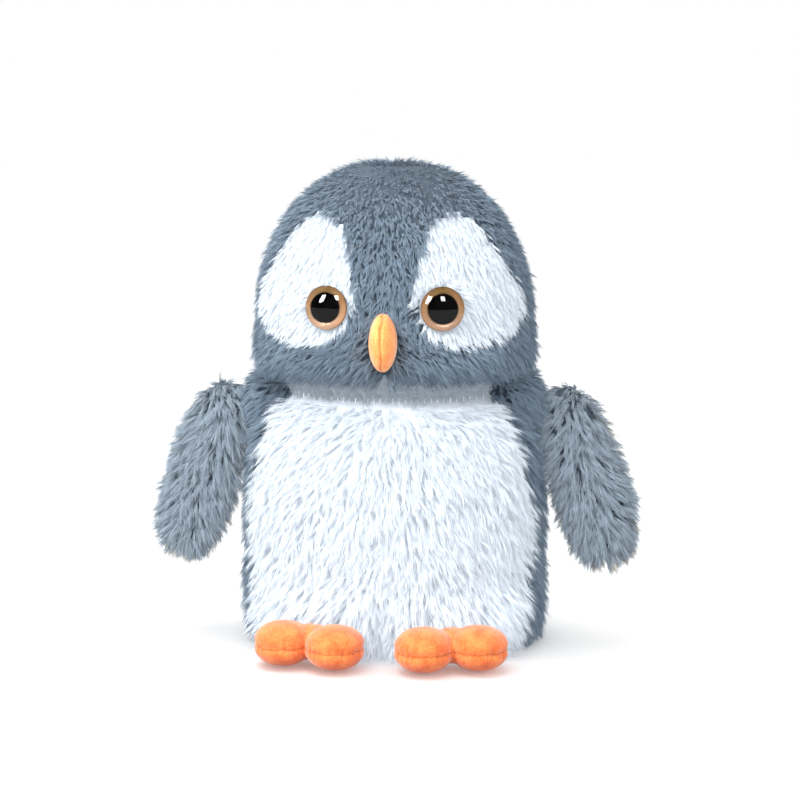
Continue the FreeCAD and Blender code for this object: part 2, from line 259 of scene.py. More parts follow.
def iris_material() -> bpy.types.Material:
    """Bronze film: copper below, olive above, darker at both edges, with fine rays across it. The olive
    top is painted shade over the iris's upper part.

    Returns:
        The material. It reads the iris's own UV map: angle along U, radius along V.
    """
    made, tree, shader = started("iris_bronze", {"Roughness": 0.32, "Metallic": 0.35})
    uv = add_node(tree, "UVMap", uv_map="ring")
    parts = add_node(tree, "SeparateXYZ", {0: uv.outputs[0]})
    around = add_node(tree, "ValToRGB", {0: parts.outputs[0]})
    stops = around.color_ramp.elements
    stops[0].color = stops[1].color = linear("#D6A87C")
    # Round the ring it is lightest copper at the bottom and dark olive at the top, as painted shade.
    for place, colour in ((0.25, "#F4CBAC"), (0.5, "#D6A87C"), (0.75, "#94753F")):
        stops.new(place).color = linear(colour)
    edge = add_node(tree, "ValToRGB", {0: parts.outputs[1]})
    rims = edge.color_ramp.elements
    rims[0].color, rims[1].color = linear("#8A7A60"), linear("#A08C78")
    for place in (0.22, 0.82):
        rims.new(place).color = (1.0, 1.0, 1.0, 1.0)
    both = {0: 1.0, 6: around.outputs[0], 7: edge.outputs[0]}
    film = add_node(tree, "Mix", both, data_type="RGBA", blend_type="MULTIPLY")
    stretch = add_node(tree, "Mapping", {0: uv.outputs[0]}, Scale=(90.0, 1.5, 1.0))
    rays = add_node(tree, "TexNoise", {"Vector": stretch.outputs[0]}, Scale=1.0, Detail=2.0)
    both = {0: 0.25, 6: film.outputs[2], 7: rays.outputs[0]}
    mix = add_node(tree, "Mix", both, data_type="RGBA", blend_type="OVERLAY")
    tree.links.new(mix.outputs[2], shader.inputs["Base Color"])
    return made


def plush_material(name: str, axis: int, seam: float, tones: tuple[str, str]) -> bpy.types.Material:
    """Short orange plush: its nap catches light in soft patches, and its seam is a darker line, painted
    shade in its crease.

    Args:
        name: name of the material.
        axis: 0 where the seam is a plane across X, 2 across Z.
        seam: where that plane lies, in metres.
        tones: sRGB hex of the nap where it lies down and where it stands.

    Returns:
        The material. It reads Object coordinates.
    """
    if name in bpy.data.materials:
        return bpy.data.materials[name]
    values = {"Roughness": 0.85, "Sheen Weight": 0.35, "Specular IOR Level": 0.2}
    made, tree, shader = started(name, values)
    at = add_node(tree, "TexCoord").outputs["Object"]
    # Tufts of 1.2 mm, and brushed patches of 8 mm.
    tufts = add_node(tree, "TexNoise", {"Vector": at}, Scale=1 / 0.0012, Detail=2.0)
    patches = add_node(tree, "TexNoise", {"Vector": at}, Scale=1 / 0.008, Detail=1.0)
    both = maths(tree, "ADD", tufts.outputs[0], patches.outputs[0])
    tone = add_node(tree, "MapRange", {"Value": both}, From_Min=0.75, From_Max=1.25)
    lying, standing = map(linear, tones)
    nap = add_node(tree, "Mix", {0: tone.outputs[0], 6: lying, 7: standing}, data_type="RGBA")
    parts = add_node(tree, "SeparateXYZ", {0: at})
    off = maths(tree, "SUBTRACT", parts.outputs[axis], seam)
    # The stitches pull the seam a little up and down.
    wander = add_node(tree, "TexNoise", {"Vector": at}, Scale=1 / 0.007, Detail=2.0)
    pull = add_node(tree, "MapRange", {"Value": wander.outputs[0]}, To_Min=-0.0022, To_Max=0.0022)
    gap = maths(tree, "ABSOLUTE", maths(tree, "ADD", off, pull.outputs[0]))
    # The line is painted shade in the seam's crease: darkest at its middle, and faded out 0.9 mm from
    # it.
    fade = dict(From_Min=0.0002, From_Max=0.0009, To_Min=0.65, To_Max=0.0)
    line = add_node(tree, "MapRange", {"Value": gap}, **fade)
    # The seam's painted shade is this dark orange.
    crease_shade = {0: line.outputs[0], 6: nap.outputs[2], 7: linear("#94481C")}
    sewn = add_node(tree, "Mix", crease_shade, data_type="RGBA")
    tree.links.new(sewn.outputs[2], shader.inputs["Base Color"])
    bump = add_node(tree, "Bump", {"Height": tufts.outputs[0]}, Strength=0.6, Distance=0.0003)
    tree.links.new(bump.outputs[0], shader.inputs["Normal"])
    return made


# ---- helpers


def clear_selection() -> None:
    """Leaves nothing selected, so that an operator acts on its own piece alone."""
    bpy.ops.object.select_all(action="DESELECT")


def coordinates(piece: Piece) -> Rows:
    """The vertices of a mesh as rows."""
    flat = np.empty(len(piece.data.vertices) * 3)
    piece.data.vertices.foreach_get("co", flat)
    return flat.reshape(-1, 3)


def set_coordinates(piece: Piece, points: Rows) -> None:
    """Writes rows back to a mesh's vertices."""
    piece.data.vertices.foreach_set("co", points.astype(np.float32).ravel())
    piece.data.update()


def finished(piece, name, body, finishes, nodes=()) -> Piece:
    """Names a piece, gives it its finishes and joins it to its body.

    Args:
        piece: the object.
        name: the piece's name.
        body: the body it rides on, or None.
        finishes: its materials, in slot order.
        nodes: the nodes it stands for.

    Returns:
        The piece.
    """
    piece.name = piece.data.name = name
    piece.data.materials.clear()
    for item in finishes:
        piece.data.materials.append(item)
    if body:
        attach(piece, body)
    if nodes:
        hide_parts(*nodes)
    clear_selection()
    log.info("%s: %d faces", name, len(piece.data.polygons))
    return piece


def refinish(node: str, finish: Finish) -> None:
    """Gives the named node of the frame another finish."""
    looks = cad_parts[node].data.materials
    looks.clear()
    looks.append(material(finish))


def ball(segments: int, rings: int, shape: Callable) -> Piece:
    """A smooth closed shape, made from a ball.

    Args:
        segments, rings: the ball's divisions.
        shape: takes the rows of a ball of radius 1 and gives the shape's, in millimetres.

    Returns:
        The mesh object, in metres.
    """
    clear_selection()
    bpy.ops.mesh.primitive_uv_sphere_add(segments=segments, ring_count=rings, radius=1)
    piece = bpy.context.object
    set_coordinates(piece, shape(coordinates(piece)) * MM)
    bpy.ops.object.shade_smooth()
    return piece


def paint(piece: Piece, zone: Callable) -> None:
    """Gives the second finish to the faces whose middle lies in a zone.

    Args:
        piece: the mesh object, in metres.
        zone: takes rows in millimetres and tells which lie in it.
    """
    faces = piece.data.polygons
    middles = np.empty(len(faces) * 3)
    faces.foreach_get("center", middles)
    chosen = zone(middles.reshape(-1, 3) / MM)
    faces.foreach_set("material_index", chosen.astype(np.int32))


def backed(piece, name: str, body: Optional[str], white: Callable, nodes=()) -> None:
    """Finishes the cloth under the pile: grey painted dark as painted shade, and white with a glow of
    painted light where white pile grows.

    Args:
        piece, name, body, nodes: as for finished().
        white: the white zone, as for paint().
    """
    looks = [material(SHADED_GREY_BACKING), material(LIT_WHITE_BACKING)]
    finished(piece, name, body, looks, nodes)
    paint(piece, white)


def placed(rows: Rows, place: Matrix) -> Rows:
    """Rows moved to where a matrix puts them."""
    return (np.c_[rows, np.ones(len(rows))] @ np.array(place).T)[:, :3]


def unit(rows: Rows) -> Rows:
    """Rows scaled to length 1."""
    return rows / np.maximum(np.linalg.norm(rows, axis=-1, keepdims=True), 1e-12)


def flattened(rows: Rows, normals: Rows) -> Rows:
    """Rows laid into the surface that the normals stand on, with length 1."""
    return unit(rows - (rows * normals).sum(-1, keepdims=True) * normals)


def drift(points: Rows, scale: float, seed: float) -> Rows:
    """Smooth noise from -1 to 1.

    Args:
        points: rows in metres.
        scale: size of a swirl in metres.
        seed: a number that shifts the pattern.

    Returns:
        One value for each row.
    """
    turned = points / scale
    total = np.zeros(len(points))
    for octave, share in ((1.0, 0.5), (2.1, 0.3), (4.3, 0.2)):
        x, y, z = (turned * octave).T
        total += share * np.sin(x * 1.7 + 2.3 * np.sin(y * 1.3 + seed) + seed)
        total += share * np.sin(z * 1.9 + 2.1 * np.sin(x * 1.1 - seed) + 1.7 * seed)
    return total / 2


# ---- forms

# Height over which a form's slope is measured, in millimetres.
SLOPE_STEP = 0.15


@dataclass(frozen=True)
class Form:
    """A rounded upright form: level ellipses whose size follows a superellipse.

    Args:
        half_width, half_depth: half sizes of the widest level, in millimetres.
        widest: its height.
        rise, drop: height of the crown above it and of the base below it.
        top_power, base_power: squareness of the two profiles.
        centre: Y of its axis.
        reach: share of the profile used below.
        taper: how much wider the form is at its base than at its top.
        tries: random points drawn for each one that sample() keeps.
    """

    half_width: float
    half_depth: float
    widest: float
    rise: float
    drop: float
    top_power: float
    base_power: float
    centre: float = 19.5
    reach: float = 0.994
    taper: float = 0.0
    tries: int = 6

    def share(self, height: Rows) -> Rows:
        """The level's size at a height in millimetres, as a share of the widest."""
        over = height - self.widest
        top = np.clip(over / self.rise, 0, 0.9999)
        base = np.clip(-over / self.drop * self.reach, 0, 0.9999)
        along = np.where(over >= 0, top, base)
        power = np.where(over >= 0, self.top_power, self.base_power)
        size = (1 - along**power) ** (1 / power)
        return size * (1 - self.taper * np.clip(over / self.rise, -1, 1))

    def slope(self, height: Rows) -> Rows:
        """How fast the level's size grows with height."""
        over, under = self.share(height + SLOPE_STEP), self.share(height - SLOPE_STEP)
        return (over - under) / (2 * SLOPE_STEP)

    def points(self, angle: Rows, height: Rows, inset: float) -> Rows:
        """Points of the surface, in millimetres, moved inwards by inset."""
        size = self.share(height)
        x = self.half_width * size * np.cos(angle)
        y = self.half_depth * size * np.sin(angle)
        at = np.stack([x, y, height], -1)
        return at - self.normals(angle, height) * inset + [0, self.centre, 0]

    def normals(self, angle: Rows, height: Rows) -> Rows:
        """Outward directions of the surface."""
        x, y = np.cos(angle) / self.half_width, np.sin(angle) / self.half_depth
        return unit(np.stack([x, y, -self.slope(height)], -1))

    def sample(self, count: int, low: float, high: float):
        """Random points spread evenly over the surface.

        Args:
            count: how many.
            low, high: heights between which they lie.

        Returns:
            Angles and heights.
        """
        tries = count * self.tries
        # Heights crowd towards both ends, where the surface turns level.
        swing = RNG.uniform(0, math.pi, tries)
        height = (low + high) / 2 - (high - low) / 2 * np.cos(swing)
        angle = RNG.uniform(0, 2 * math.pi, tries)
        edge = np.hypot(self.half_width * np.sin(angle), self.half_depth * np.cos(angle))
        radius = np.hypot(self.half_width * np.cos(angle), self.half_depth * np.sin(angle))
        tall = np.hypot(1, self.slope(height) * radius)
        weight = self.share(height) * edge * tall * np.sin(swing)
        picked = RNG.choice(tries, count, replace=False, p=weight / weight.sum())
        return angle[picked], height[picked]

    def area(self, low: float, high: float) -> float:
        """Rough area of the surface between two heights, in square millimetres."""
        heights = np.linspace(low, high, 200)
        size = self.share(heights)
        slope = np.abs(np.gradient(size, heights))
        mean = math.sqrt((self.half_width**2 + self.half_depth**2) / 2)
        ring = 2 * math.pi * mean * size * np.hypot(1, slope * mean)
        return float(np.sum(ring) * (heights[1] - heights[0]))


TORSO = Form(99, 72, 65, 106.5, 65, 4.2, 8, reach=0.93)
HEAD = Form(92, 71, 206, 111, 27.5, 2.2, 4.5)
FLIPPER = Form(22.5, 11, 0, 60, 60, 2.6, 2.6, centre=0, reach=0.99, taper=0.09)


def skin(form: Form, inset: float, place: Matrix = Matrix.Identity(4)) -> Piece:
    """The cloth at the foot of the pile: a closed, stuffed shape.

    Args:
        form: the form outside the pile.
        inset: depth of the pile in millimetres.
        place: where the form stands, in millimetres.

    Returns:
        The mesh object.
    """

    def shape(rows: Rows) -> Rows:
        """The form's surface, moved inwards by the pile."""
        angle = np.arctan2(rows[:, 1], rows[:, 0])
        level = np.clip(rows[:, 2], -1, 1)
        low, high = form.widest - form.drop + inset, form.widest + form.rise - inset
        reach = np.where(level >= 0, high - form.widest, form.widest - low)
        height = form.widest + reach * level
        at = form.points(angle, height, 0)
        # Near the poles a level is small, and the inset takes a bounded share of it.
        at[:, 0] *= 1 - inset / form.half_width / np.maximum(form.share(height), 0.25)
        at[:, 1] = (at[:, 1] - form.centre) * (1 - inset / form.half_depth) + form.centre
        pole = np.abs(level) > 0.9999
        at[pole, 0], at[pole, 1] = 0.0, form.centre
        return placed(at, place)

    return ball(96, 64, shape)


# ---- fur


@dataclass(frozen=True)
class Fur:
    """How the pile of one panel grows.

    Args:
        pile: its tones.
        length: length of a lock in millimetres.
        spacing: distance between locks in millimetres.
        lean: angle from the surface's normal at the root and at the tip, in degrees.
        hairs: ribbons in each lock.
        width: width of a ribbon at its root, in millimetres.
        gather: how far a lock's tip is drawn together, from 0 to 1.
        sweep: angle in degrees by which broad swirls turn the pile.
        droop: how far the tips sink, as a share of the length.
        spread: radius of a lock at its root, in millimetres.
        mess, wild: how much locks differ in the way they point and in lean, in degrees.
    """

    pile: Pile
    length: float
    spacing: float
    lean: tuple[float, float]
    hairs: int
    width: float
    gather: float = 0.8
    sweep: float = 24.0
    droop: float = 0.08
    spread: float = 1.7
    mess: float = 11.0
    wild: float = 7.0


# Where a ribbon's four levels lie along it.
STEPS = np.array([0.0, 0.38, 0.72, 1.0])
# Half widths of a ribbon below its point, as shares of the fur's width.
TAPER = np.array([0.9, 1.0, 0.7]) / 2
# A piece with more ribbons than this is split, so that no mesh is too heavy.
MOST_HAIRS = 37000


def plant(fur: Fur, roots, normals, comb, name, body, nodes=(), scale=1.0, lift=0.0) -> None:
    """Grows a panel's pile, in as many pieces side by side as keep each mesh light.

    Args:
        fur, roots, normals, comb, scale, lift: as for grow().
        name: name of the piece; a letter is added where there are several.
        body: the body it rides on.
        nodes: the nodes it stands for.
    """
    parts = math.ceil(len(roots) * fur.hairs / MOST_HAIRS)
    order = np.array_split(np.argsort(roots[:, 0]), parts)
    scale = np.broadcast_to(scale, len(roots))
    lift = np.broadcast_to(lift, len(roots))
    for number, some in enumerate(order):
        full = name if parts == 1 else f"{name}_{'abcdefgh'[number]}"
        piece = grow(fur, roots[some], normals[some], comb[some], full, scale[some], lift[some])
        looks = [material(finish) for finish in fur.pile.finishes()]
        finished(piece, full, body, looks, nodes if number == 0 else ())


def grow(fur: Fur, roots, normals, comb, name: str, scale, lift) -> Piece:
    """Grows pile as ribbons gathered into pointed locks.

    Args:
        fur: how it grows.
        roots, normals: where each lock starts, in millimetres, and outward directions there.
        comb: directions that the locks are brushed in, along the surface.
        name: name of the mesh.
        scale: each lock's length, as a share of the fur's.
        lift: degrees by which each lock stands up more than the fur does.

    Returns:
        The mesh object, with each face's material index set for its tone and level.
    """
    locks, hairs = len(roots), fur.hairs
    side = np.cross(normals, comb)
    turn = np.radians(fur.sweep * drift(roots, 26, 1.3) + RNG.normal(0, fur.mess, locks))[:, None]
    comb = comb * np.cos(turn) + side * np.sin(turn)
    length = fur.length * scale * RNG.uniform(0.75, 1.12, locks) * (1 + 0.12 * drift(roots, 15, 4.0))
    lean = RNG.normal(0, fur.wild, locks) + 9 * drift(roots, 12, 2.2) - lift
    spine = np.zeros((locks, 4, 3))
    for step in range(1, 4):
        part = STEPS[step] - STEPS[step - 1]
        share = (STEPS[step] + STEPS[step - 1]) / 2
        angle = np.radians(fur.lean[0] + (fur.lean[1] - fur.lean[0]) * share + lean)[:, None]
        go = normals * np.cos(angle) + comb * np.sin(angle)
        go = unit(go + DOWN * fur.droop * share * 2)
        spine[:, step] = spine[:, step - 1] + go * part * length[:, None]
    # Hairs start spread round the lock's root and close in on its tip.
    ring = RNG.uniform(0, 2 * math.pi, (locks, hairs))
    out = fur.spread * np.sqrt(RNG.uniform(0, 1, (locks, hairs)))
    side = np.cross(normals, comb)
    forth, aside = (out * np.cos(ring))[..., None], (out * np.sin(ring))[..., None]
    offset = comb[:, None] * forth + side[:, None] * aside
    reach = RNG.uniform(0.8, 1.06, (locks, hairs))[..., None, None]
    stray = RNG.normal(0, 0.07, (locks, hairs, 3)) * fur.length
    close = 1 - fur.gather * STEPS**1.1
    paths = roots[:, None, None] + spine[:, None] * reach + offset[:, :, None] * close[:, None]
    paths = paths + stray[:, :, None] * (STEPS**2)[:, None]
    paths = paths.reshape(-1, 4, 3)
    paths[..., 2] = np.maximum(paths[..., 2], 0.4)
    normal = np.repeat(normals, hairs, 0)[:, None]
    along = unit(np.diff(paths, axis=1))
    flat = unit(np.cross(along, normal))
    tilt = RNG.normal(0, 0.5, len(paths))[:, None, None]
    flat = flat * np.cos(tilt) + np.cross(along, flat) * np.sin(tilt)
    wide = TAPER * fur.width * RNG.uniform(0.7, 1.2, len(paths))[:, None]
    left = paths[:, :3] - flat * wide[..., None]
    right = paths[:, :3] + flat * wide[..., None]
    corners = np.concatenate([np.stack([left, right], 2).reshape(-1, 6, 3), paths[:, 3:]], 1)
    tone = np.repeat(RNG.integers(0, 3, locks), hairs)
    tone = np.where(RNG.uniform(size=len(tone)) < 0.25, RNG.integers(0, 3, len(tone)), tone)
    return ribbon_mesh(name, corners * MM, tone, fur.pile)


def ribbon_mesh(name: str, corners: Rows, tone: Rows, pile: Pile) -> Piece:
    """Builds the mesh of many ribbons: two quads and a pointed end each.

    Args:
        name: name of the mesh.
        corners: (hairs, 7, 3) points in metres.
        tone: 0, 1 or 2 for each hair.
        pile: its tones.

    Returns:
        The mesh object.
    """
    count = len(corners)
    mesh = bpy.data.meshes.new(name)
    mesh.vertices.add(count * 7)
    mesh.vertices.foreach_set("co", corners.astype(np.float32).ravel())
    pattern = np.array([0, 1, 3, 2, 2, 3, 5, 4, 4, 5, 6])
    loops = (np.arange(count)[:, None] * 7 + pattern).ravel()
    mesh.loops.add(len(loops))
    mesh.loops.foreach_set("vertex_index", loops.astype(np.int32))
    mesh.polygons.add(count * 3)
    starts = (np.arange(count)[:, None] * 11 + np.array([0, 4, 8])).ravel()
    mesh.polygons.foreach_set("loop_start", starts.astype(np.int32))
    roots, middles = len(pile.roots), len(pile.middles)
    slots = np.stack([tone % roots, roots + tone % middles, roots + middles + tone % len(pile.tips)], 1)
    mesh.polygons.foreach_set("material_index", slots.ravel().astype(np.int32))
    mesh.polygons.foreach_set("use_smooth", np.ones(count * 3, bool))
    mesh.update(calc_edges=True)
    mesh.validate()
    piece = bpy.data.objects.new(name, mesh)
    bpy.context.scene.collection.objects.link(piece)
    return piece


def inside(outline: Rows, x: Rows, z: Rows) -> Rows:
    """Which points lie inside a closed outline.

    Args:
        outline: rows of x and z.
        x, z: the points.

    Returns:
        True for each point inside.
    """
    found = np.zeros(len(x), bool)
    for (x0, z0), (x1, z1) in zip(outline, np.roll(outline, -1, 0)):
        crosses = (z0 > z) != (z1 > z)
        with np.errstate(divide="ignore", invalid="ignore"):
            at = (x1 - x0) * (z - z0) / (z1 - z0) + x0
        found ^= crosses & (x < at)
    return found


# ---- torso


# Height of the slit in the chest, and how far the cloth lies inside the form.
SLIT = 165.0
SKIN = 4.8
# Half-width of the white front: at its hem, at the slit, and what it bulges between them.
HEM_HALF, SLIT_HALF, BULGE = 71, 67, 20
# Above this height the pile lies over the shoulders.
SHOULDER_LINE = 135


@dataclass
class Torso:
    """White front sewn shut across the chest, grey back, and the cloth under them."""

    body: str = "torso"
    belly: Fur = Fur(WHITE, 15, 2.7, (46, 79), 13, 0.34, mess=17)
    strip: Fur = Fur(FRINGE, 19, 1.9, (4, 14), 10, 0.36, sweep=70, droop=0.0, mess=40, wild=16)
    fold: Fur = Fur(FRINGE, 15, 1.9, (48, 66), 10, 0.36, sweep=60, droop=0.0, mess=34, wild=15)
    back: Fur = Fur(GREY, 15, 2.6, (36, 72), 9, 0.42, spread=1.4, mess=17)

    @staticmethod
    def front(x: Rows, y: Rows, z: Rows) -> Rows:
        """Which points, in millimetres, lie on the white front."""
        along = np.clip((z - 6) / (SLIT - 6), 0, 1)
        half = HEM_HALF + (SLIT_HALF - HEM_HALF) * along + BULGE * 4 * along * (1 - along)
        half = np.where(z > SLIT, SLIT_HALF - (z - SLIT) * 0.23, half)
        return (y < TORSO.centre) & (np.abs(x) < half)

    def build(self) -> None:
        """Makes the skin, the fur panels, the gusset and the shoulders."""
        cloth = skin(TORSO, SKIN)
        backed(cloth, "torso_skin", self.body, lambda p: self.front(*p.T), ["base_panel"])
        count = int(TORSO.area(2, 171) / self.belly.spacing**2)
        angle, height = TORSO.sample(count, 1.5, 171.3)
        roots = TORSO.points(angle, height, SKIN + 0.3)
        normals = TORSO.normals(angle, height)
        x = roots[:, 0]
        # Nothing grows in the pinch under the head.
        open_air = TORSO.share(height) > 0.5
        front = self.front(x, roots[:, 1], height)
        zones = {
            "belly_fur": (self.belly, front & (height < SLIT - 0.7), ["belly_panel"], -1),
            "chest_fur": (self.strip, front & (height > SLIT + 0.7), ["chest_strip"], 1),
            "back_fur_left": (self.back, ~front & (x >= 0), ["back_panel_left"], -1),
            "back_fur_right": (self.back, ~front & (x < 0), ["back_panel_right"], -1),
        }
        for name, (fur, keep, nodes, upward) in zones.items():
            keep = keep & open_air
            over, high = x[keep], height[keep]
            way = np.tile(UP * upward, (keep.sum(), 1))
            shoulder = np.clip((high - SHOULDER_LINE) / 25, 0, 1) * (fur is self.back)
            if upward < 0:
                # The pile fans out as it falls, most of all below the slit.
                fan = over * (1 - (over / 92) ** 2) * (1 + 2 * np.clip(high / 60 - 1.6, 0, 1))
                way[:, 0] += fan / 150 * front[keep]
                # On the shoulders it lies outwards, over the flippers' roots.
                outwards = shoulder * np.clip(np.abs(over) / 40 - 0.6, 0, 1)
                way[:, 0] += np.sign(over) * outwards * 2.2
            comb = flattened(way, normals[keep])
            # Over the feet the pile is longer and hangs forward.
            over_feet = np.abs(np.abs(over) - FOOT_ACROSS) < 38
            hem = np.clip((52 - high) / 18, 0, 1) * (fur is self.belly) * over_feet
            scale = 1 + 0.25 * shoulder + 0.6 * hem
            plant(fur, roots[keep], normals[keep], comb, name, self.body, nodes, scale, 30 * hem)
        self.gusset()
        for side in Side:
            self.shoulder(side)

    def gusset(self) -> None:
        """Makes the rolled cloth in the crease under the head."""
        middle = np.array([0, TORSO.centre, 174])
        half = [64, 47, 15]
        piece = ball(96, 48, lambda rows: rows * half + middle)
        # In front the cloth is white below 173 mm; above that it stays dark grey, painted shade in the
        # crease under the head.
        backed(
            piece, "neck_gusset", None,
            lambda p: (p[:, 1] < TORSO.centre) & (np.abs(p[:, 0]) < 60) & (p[:, 2] < 173),
        )
        # The chest's pile carries on up over a band in front.
        roots, normals = mesh_sample(
            piece, self.fold.spacing,
            lambda p: (p[:, 1] < -3) & (np.abs(p[:, 0]) < 60) & (np.abs(p[:, 2] - 173) < 7),
        )
        up = flattened(np.tile(UP, (len(roots), 1)), normals)
        plant(self.fold, roots, normals, up, "crease_fur", self.body)
        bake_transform(piece)

    def shoulder(self, side: Side) -> None:
        """Makes the gathered cloth above a flipper's root, with its pile.

        Args:
            side: which shoulder.
        """
        radius, middle = 18, [77 * side.value, 18, 160]
        piece = ball(48, 32, lambda rows: rows * radius + middle)
        finished(piece, f"shoulder_{side.word}_cloth", self.body, [material(SHADED_GREY_BACKING)])
        roots, normals = mesh_sample(piece, 2.3, lambda p: np.abs(p[:, 0]) > 66)
        way = np.tile([0.9 * side.value, -0.2, -1.0], (len(roots), 1))
        comb = flattened(way, normals)
        plant(self.back, roots, normals, comb, f"shoulder_{side.word}_fur", self.body, scale=0.85)


# ---- head


# Outline of the left eye's white patch, as x and z in millimetres.
PATCH = np.array([
    (42, 202), (30, 208), (24, 218), (19, 232), (19, 248), (22, 262), (27, 275), (34, 282), (43, 284),
    (52, 280), (60, 272), (67, 261), (76, 247), (83, 233), (84, 222), (78, 212), (66, 205), (54, 202),
], float)


# Radius round an eye that stays bare, and radius from which the pile is combed away less.
EYE_BARE, EYE_RIM = 12.8, 13
# Height of the beak's middle, and the half-width and half-height of its root.
BEAK_HEIGHT, BEAK_HALF = 205.0, (9.0, 18.0)


@dataclass(frozen=True)
class EyePlace:
    """Where one eye sits, read from its solids.

    Args:
        centre: middle of the iris's back, in metres.
        axis: outward direction.
    """

    centre: Vector
    axis: Vector

    @classmethod
    def of(cls, side: Side) -> "EyePlace":
        """Reads the eye's iris and washer.

        Args:
            side: which eye.

        Returns:
            Its place.
        """
        iris = coordinates(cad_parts[f"eye_{side.word}_iris"]).mean(0)
        washer = coordinates(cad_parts[f"eye_{side.word}_washer"]).mean(0)
        axis = Vector(unit(iris - washer))
        return cls(Vector(iris) - axis * 0.4 * MM, axis)

    def matrix(self) -> Matrix:
        """Local +Z outwards from the eye's back."""
        turn = self.axis.to_track_quat("Z", "Y").to_matrix().to_4x4()
        return Matrix.Translation(self.centre) @ turn


@dataclass
class Head:
    """Grey panels, white eye patches, safety eyes and the sewn beak."""

    body: str = "head"
    grey: Fur = Fur(GREY, 10.5, 2.0, (40, 72), 6, 0.38, spread=1.0, mess=19, wild=10)
    white: Fur = Fur(WHITE, 9.5, 2.0, (50, 79), 7, 0.34, spread=1.2)

    def build(self) -> None:
        """Makes the skin, the fur, both eyes and the beak."""
        cloth = skin(HEAD, SKIN)
        backed(cloth, "head_skin", self.body, lambda p: self.patch(*p.T))
        eyes = {side: EyePlace.of(side) for side in Side}
        self.fur(eyes)
        for side, place in eyes.items():
            Eye(side, place).build()
        Beak().build()

    @staticmethod
    def patch(x: Rows, y: Rows, z: Rows) -> Rows:
        """Which points lie in the white patches round the eyes."""
        return inside(PATCH, np.abs(x), z) & (y < HEAD.centre)

    def fur(self, eyes: dict) -> None:
        """Grows the head's panels, combed down and away from the crown, the eyes and the beak.

        Args:
            eyes: side to place.
        """
        count = int(HEAD.area(179, 316) / self.grey.spacing**2)
        angle, height = HEAD.sample(count, 178.8, 316.98)
        roots = HEAD.points(angle, height, SKIN + 0.3)
        normals = HEAD.normals(angle, height)
        x, y, z = roots.T
        way = np.stack([x / 92, (y - HEAD.centre) / 71, np.full(len(x), -1.1)], -1)
        way[:, 1] -= 0.1
        keep = (height > 183) | (HEAD.share(height) > 0.66)
        # The jowl's pile stands out and runs sideways, away from the beak.
        jowl = np.clip((216 - z) / 16, 0, 1)
        way[:, 0] += np.sign(x) * jowl * 1.3 * (y < 0) * np.clip((75 - np.abs(x)) / 30, 0, 1)
        hang = np.clip((199 - z) / 10, 0, 1)
        way[:, 2] += (jowl - 2 * hang) * 0.5
        for place in eyes.values():
            # Pile radiates from the eye, less and less with distance. None grows under it.
            axis = np.array(place.axis)
            away = roots - np.array(place.centre) / MM
            across = away - (away @ axis)[:, None] * axis
            gap = np.linalg.norm(across, axis=1)
            near = (y < 0) * np.exp(-np.maximum(gap - EYE_RIM, 0) / 6)
            way += unit(across) * near[:, None] * 1.9
            keep &= (gap > EYE_BARE) | (y > 0)
        # The same round the beak, but not below it.
        right, up = x / BEAK_HALF[0], (z - BEAK_HEIGHT) / BEAK_HALF[1]
        beak = np.hypot(right, up)
        near = (y < 0) * np.exp(-np.maximum(beak - 1, 0) * 2.2) * np.clip((z - 187) / 10, 0, 1)
        way += np.stack([right, 0 * x, up], -1) * near[:, None] * 0.9
        keep &= (beak > 0.95) | (y > 0)
        comb = flattened(way, normals)
        patch = self.patch(x, y, z)
        halves = {"left": x >= 0, "right": x < 0}
        for stem, node, fur, panel in (
            ("head_fur", "head_panel", self.grey, ~patch),
            ("eye_patch_fur", "eye_patch", self.white, patch),
        ):
            for word, half in halves.items():
                zone = panel & half & keep
                # Shorter towards the crown, and longer where it hangs over the neck.
                scale = 1 - 0.1 * np.clip((z[zone] - 240) / 50, 0, 1) + 0.65 * hang[zone]
                name, nodes, lift = f"{stem}_{word}", [f"{node}_{word}"], jowl[zone] * 16
                plant(
                    fur, roots[zone], normals[zone], comb[zone], name, self.body, nodes, scale, lift
                )


